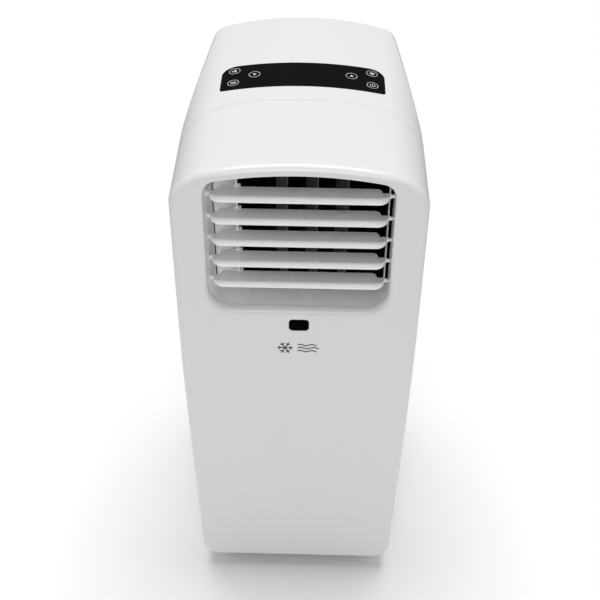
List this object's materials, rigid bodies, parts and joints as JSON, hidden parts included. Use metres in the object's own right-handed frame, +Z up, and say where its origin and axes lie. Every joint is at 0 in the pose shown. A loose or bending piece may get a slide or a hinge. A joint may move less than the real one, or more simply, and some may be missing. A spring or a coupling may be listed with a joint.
{
  "type": "portable air conditioner",
  "caption": "Tall white portable air conditioner on casters with a swinging slatted outlet, top control strip, rear intake grilles and a round exhaust collar.",
  "frame": {"origin": "on the floor, under the middle of the cabinet", "axes": "+Z up, -Y out of the front outlet, +X to the right of someone facing the front"},
  "size_m": [0.3, 0.37, 0.73],
  "materials": {
    "cabinet_white": "satin moulded ABS",
    "outlet_white": "satin moulded ABS",
    "vane_grey": "matt moulded ABS",
    "strip_black": "fine matt texture with white key symbols",
    "window_black": "polished infrared-clear plastic",
    "emblem_grey": "matt",
    "board_green": "solder-masked laminate",
    "pan_grey": "matt moulded polypropylene",
    "zinc_steel": "zinc-plated sheet",
    "duct_white": "matt moulded polypropylene",
    "duct_black": "matt black polypropylene",
    "fin_aluminium": "thin stamped fins",
    "wheel_black": "matt glass-filled plastic",
    "compressor_black": "semi-gloss black enamel",
    "rubber_black": "matt",
    "copper": "drawn copper tube",
    "filter_grey": "fine mesh in a moulded frame",
    "caster_grey": "matt moulded nylon",
    "caster_black": "matt moulded nylon"
  },
  "bodies": {
    "cabinet": {"front_housing": "cabinet_white", "rear_housing": "cabinet_white", "base_pan": "pan_grey", "partition_deck": "zinc_steel", "support_posts": "zinc_steel", "control_overlay": "strip_black", "control_board": "board_green", "ir_window": "window_black", "front_emblem": "emblem_grey", "louver_frame": "outlet_white", "swing_motor": "zinc_steel", "evaporator_coil": "fin_aluminium", "blower_scroll": "duct_black", "blower_motor": "zinc_steel", "condenser_coil": "fin_aluminium", "condenser_scroll": "duct_white", "condenser_fan_motor": "zinc_steel", "exhaust_duct": "duct_white", "exhaust_collar": "cabinet_white", "compressor": "compressor_black", "compressor_grommets": "rubber_black", "refrigerant_pipes": "copper", "electrical_box": "zinc_steel", "handle_cups": "cabinet_white", "cord_gland": "rubber_black", "housing_screws": "zinc_steel"},
    "slat_1": {"slat_1": "outlet_white"},
    "slat_2": {"slat_2": "outlet_white"},
    "slat_3": {"slat_3": "outlet_white"},
    "slat_4": {"slat_4": "outlet_white"},
    "slat_5": {"slat_5": "outlet_white"},
    "louver_link": {"louver_link": "outlet_white"},
    "vane_1": {"vane_1": "vane_grey"},
    "vane_2": {"vane_2": "vane_grey"},
    "vane_3": {"vane_3": "vane_grey"},
    "vane_link": {"vane_link": "vane_grey"},
    "blower_wheel": {"blower_wheel": "wheel_black"},
    "condenser_fan_wheel": {"condenser_fan_wheel": "wheel_black"},
    "key_fan": {"key_fan": "strip_black"},
    "key_down": {"key_down": "strip_black"},
    "key_swing": {"key_swing": "strip_black"},
    "key_mode": {"key_mode": "strip_black"},
    "key_up": {"key_up": "strip_black"},
    "key_power": {"key_power": "strip_black"},
    "upper_grille": {"upper_grille": "cabinet_white", "upper_filter": "filter_grey"},
    "lower_grille": {"lower_grille": "cabinet_white", "lower_filter": "filter_grey"},
    "drain_cap_upper": {"drain_cap_upper": "rubber_black"},
    "drain_cap_lower": {"drain_cap_lower": "rubber_black"},
    "caster_front_left": {"caster_front_left": "caster_grey"},
    "wheels_front_left": {"wheels_front_left": "caster_black"},
    "caster_front_right": {"caster_front_right": "caster_grey"},
    "wheels_front_right": {"wheels_front_right": "caster_black"},
    "caster_rear_left": {"caster_rear_left": "caster_grey"},
    "wheels_rear_left": {"wheels_rear_left": "caster_black"},
    "caster_rear_right": {"caster_rear_right": "caster_grey"},
    "wheels_rear_right": {"wheels_rear_right": "caster_black"}
  },
  "joints": [
    {"name": "slat_1_swing", "type": "hinge", "parent": "cabinet", "child": "slat_1", "pos_m": [0, -0.165, 0.6795], "axis": [1, 0, 0], "range_deg": [-20, 40]},
    {"name": "slat_2_swing", "type": "hinge", "parent": "cabinet", "child": "slat_2", "pos_m": [0, -0.165, 0.6482], "axis": [1, 0, 0], "range_deg": [-20, 40]},
    {"name": "slat_3_swing", "type": "hinge", "parent": "cabinet", "child": "slat_3", "pos_m": [0, -0.165, 0.6169], "axis": [1, 0, 0], "range_deg": [-20, 40]},
    {"name": "slat_4_swing", "type": "hinge", "parent": "cabinet", "child": "slat_4", "pos_m": [0, -0.165, 0.5856], "axis": [1, 0, 0], "range_deg": [-20, 40]},
    {"name": "slat_5_swing", "type": "hinge", "parent": "cabinet", "child": "slat_5", "pos_m": [0, -0.165, 0.5543], "axis": [1, 0, 0], "range_deg": [-20, 40]},
    {"name": "louver_link_pivot", "type": "hinge", "parent": "slat_3", "child": "louver_link", "pos_m": [-0.0735, -0.15, 0.6169], "axis": [1, 0, 0], "range_deg": [-40, 20]},
    {"name": "vane_1_turn", "type": "hinge", "parent": "cabinet", "child": "vane_1", "pos_m": [-0.0215, -0.122, 0.6115], "axis": [0, 0, 1], "range_deg": [-56, 4]},
    {"name": "vane_2_turn", "type": "hinge", "parent": "cabinet", "child": "vane_2", "pos_m": [0.0145, -0.122, 0.6115], "axis": [0, 0, 1], "range_deg": [-56, 4]},
    {"name": "vane_3_turn", "type": "hinge", "parent": "cabinet", "child": "vane_3", "pos_m": [0.0505, -0.122, 0.6115], "axis": [0, 0, 1], "range_deg": [-56, 4]},
    {"name": "vane_link_pivot", "type": "hinge", "parent": "vane_2", "child": "vane_link", "pos_m": [0.0088, -0.11032, 0.614], "axis": [0, 0, 1], "range_deg": [-4, 56]},
    {"name": "blower_spin", "type": "hinge", "parent": "cabinet", "child": "blower_wheel", "pos_m": [0.016, 0.02, 0.59], "axis": [1, 0, 0], "continuous": true},
    {"name": "condenser_fan_spin", "type": "hinge", "parent": "cabinet", "child": "condenser_fan_wheel", "pos_m": [0, 0.092, 0.185], "axis": [0, 1, 0], "continuous": true},
    {"name": "key_fan_press", "type": "slide", "parent": "cabinet", "child": "key_fan", "axis": [0, 0, -1], "range_m": [0, 0.0008], "stiffness_N_per_m": 600},
    {"name": "key_down_press", "type": "slide", "parent": "cabinet", "child": "key_down", "axis": [0, 0, -1], "range_m": [0, 0.0008], "stiffness_N_per_m": 600},
    {"name": "key_swing_press", "type": "slide", "parent": "cabinet", "child": "key_swing", "axis": [0, 0, -1], "range_m": [0, 0.0008], "stiffness_N_per_m": 600},
    {"name": "key_mode_press", "type": "slide", "parent": "cabinet", "child": "key_mode", "axis": [0, 0, -1], "range_m": [0, 0.0008], "stiffness_N_per_m": 600},
    {"name": "key_up_press", "type": "slide", "parent": "cabinet", "child": "key_up", "axis": [0, 0, -1], "range_m": [0, 0.0008], "stiffness_N_per_m": 600},
    {"name": "key_power_press", "type": "slide", "parent": "cabinet", "child": "key_power", "axis": [0, 0, -1], "range_m": [0, 0.0008], "stiffness_N_per_m": 600},
    {"name": "upper_grille_pull", "type": "slide", "parent": "cabinet", "child": "upper_grille", "axis": [0, 1, 0], "range_m": [0, 0.06]},
    {"name": "lower_grille_pull", "type": "slide", "parent": "cabinet", "child": "lower_grille", "axis": [0, 1, 0], "range_m": [0, 0.06]},
    {"name": "drain_cap_upper_pull", "type": "slide", "parent": "cabinet", "child": "drain_cap_upper", "axis": [0, 1, 0], "range_m": [0, 0.02]},
    {"name": "drain_cap_lower_pull", "type": "slide", "parent": "cabinet", "child": "drain_cap_lower", "axis": [0, 1, 0], "range_m": [0, 0.02]},
    {"name": "caster_front_left_swivel", "type": "hinge", "parent": "cabinet", "child": "caster_front_left", "pos_m": [-0.074, -0.13, 0.046], "axis": [0, 0, 1], "continuous": true},
    {"name": "wheels_front_left_roll", "type": "hinge", "parent": "caster_front_left", "child": "wheels_front_left", "pos_m": [-0.074, -0.122, 0.018], "axis": [1, 0, 0], "continuous": true},
    {"name": "caster_front_right_swivel", "type": "hinge", "parent": "cabinet", "child": "caster_front_right", "pos_m": [0.074, -0.13, 0.046], "axis": [0, 0, 1], "continuous": true},
    {"name": "wheels_front_right_roll", "type": "hinge", "parent": "caster_front_right", "child": "wheels_front_right", "pos_m": [0.074, -0.122, 0.018], "axis": [1, 0, 0], "continuous": true},
    {"name": "caster_rear_left_swivel", "type": "hinge", "parent": "cabinet", "child": "caster_rear_left", "pos_m": [-0.074, 0.13, 0.046], "axis": [0, 0, 1], "continuous": true},
    {"name": "wheels_rear_left_roll", "type": "hinge", "parent": "caster_rear_left", "child": "wheels_rear_left", "pos_m": [-0.074, 0.138, 0.018], "axis": [1, 0, 0], "continuous": true},
    {"name": "caster_rear_right_swivel", "type": "hinge", "parent": "cabinet", "child": "caster_rear_right", "pos_m": [0.074, 0.13, 0.046], "axis": [0, 0, 1], "continuous": true},
    {"name": "wheels_rear_right_roll", "type": "hinge", "parent": "caster_rear_right", "child": "wheels_rear_right", "pos_m": [0.074, 0.138, 0.018], "axis": [1, 0, 0], "continuous": true}
  ],
  "couplings": [
    {"joint": "slat_1_swing", "follows": "slat_3_swing", "ratio": 1},
    {"joint": "slat_2_swing", "follows": "slat_3_swing", "ratio": 1},
    {"joint": "slat_4_swing", "follows": "slat_3_swing", "ratio": 1},
    {"joint": "slat_5_swing", "follows": "slat_3_swing", "ratio": 1},
    {"joint": "louver_link_pivot", "follows": "slat_3_swing", "ratio": -1},
    {"joint": "vane_1_turn", "follows": "vane_2_turn", "ratio": 1},
    {"joint": "vane_3_turn", "follows": "vane_2_turn", "ratio": 1},
    {"joint": "vane_link_pivot", "follows": "vane_2_turn", "ratio": -1}
  ]
}
